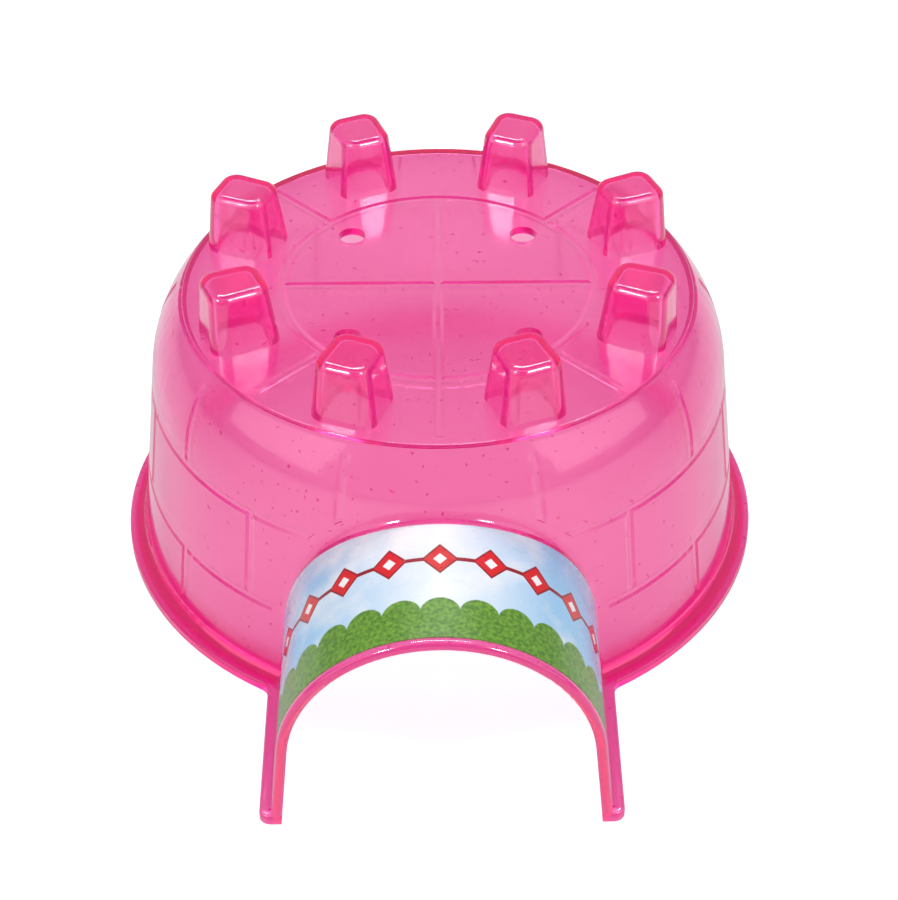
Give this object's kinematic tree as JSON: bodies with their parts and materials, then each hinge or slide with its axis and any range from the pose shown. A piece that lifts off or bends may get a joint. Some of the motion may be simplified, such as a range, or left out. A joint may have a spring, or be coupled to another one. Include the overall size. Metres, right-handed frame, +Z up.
{
  "type": "rodent igloo",
  "caption": "Small moulded see-through dome hideout for a hamster, open underneath, with an arched doorway tunnel, hollow turrets round a flat top, vent holes and brick seams.",
  "frame": {"origin": "under the middle of the whole footprint, in the plane that the flange rests on", "axes": "+Z up through the dome, -Y out of the doorway, +X to the right seen from the doorway"},
  "size_m": [0.12, 0.1426, 0.0638],
  "materials": {
    "shell": "clear tinted gloss",
    "label": "satin printed film"
  },
  "bodies": {
    "root": {"shell": "shell", "label": "label"}
  },
  "joints": []
}
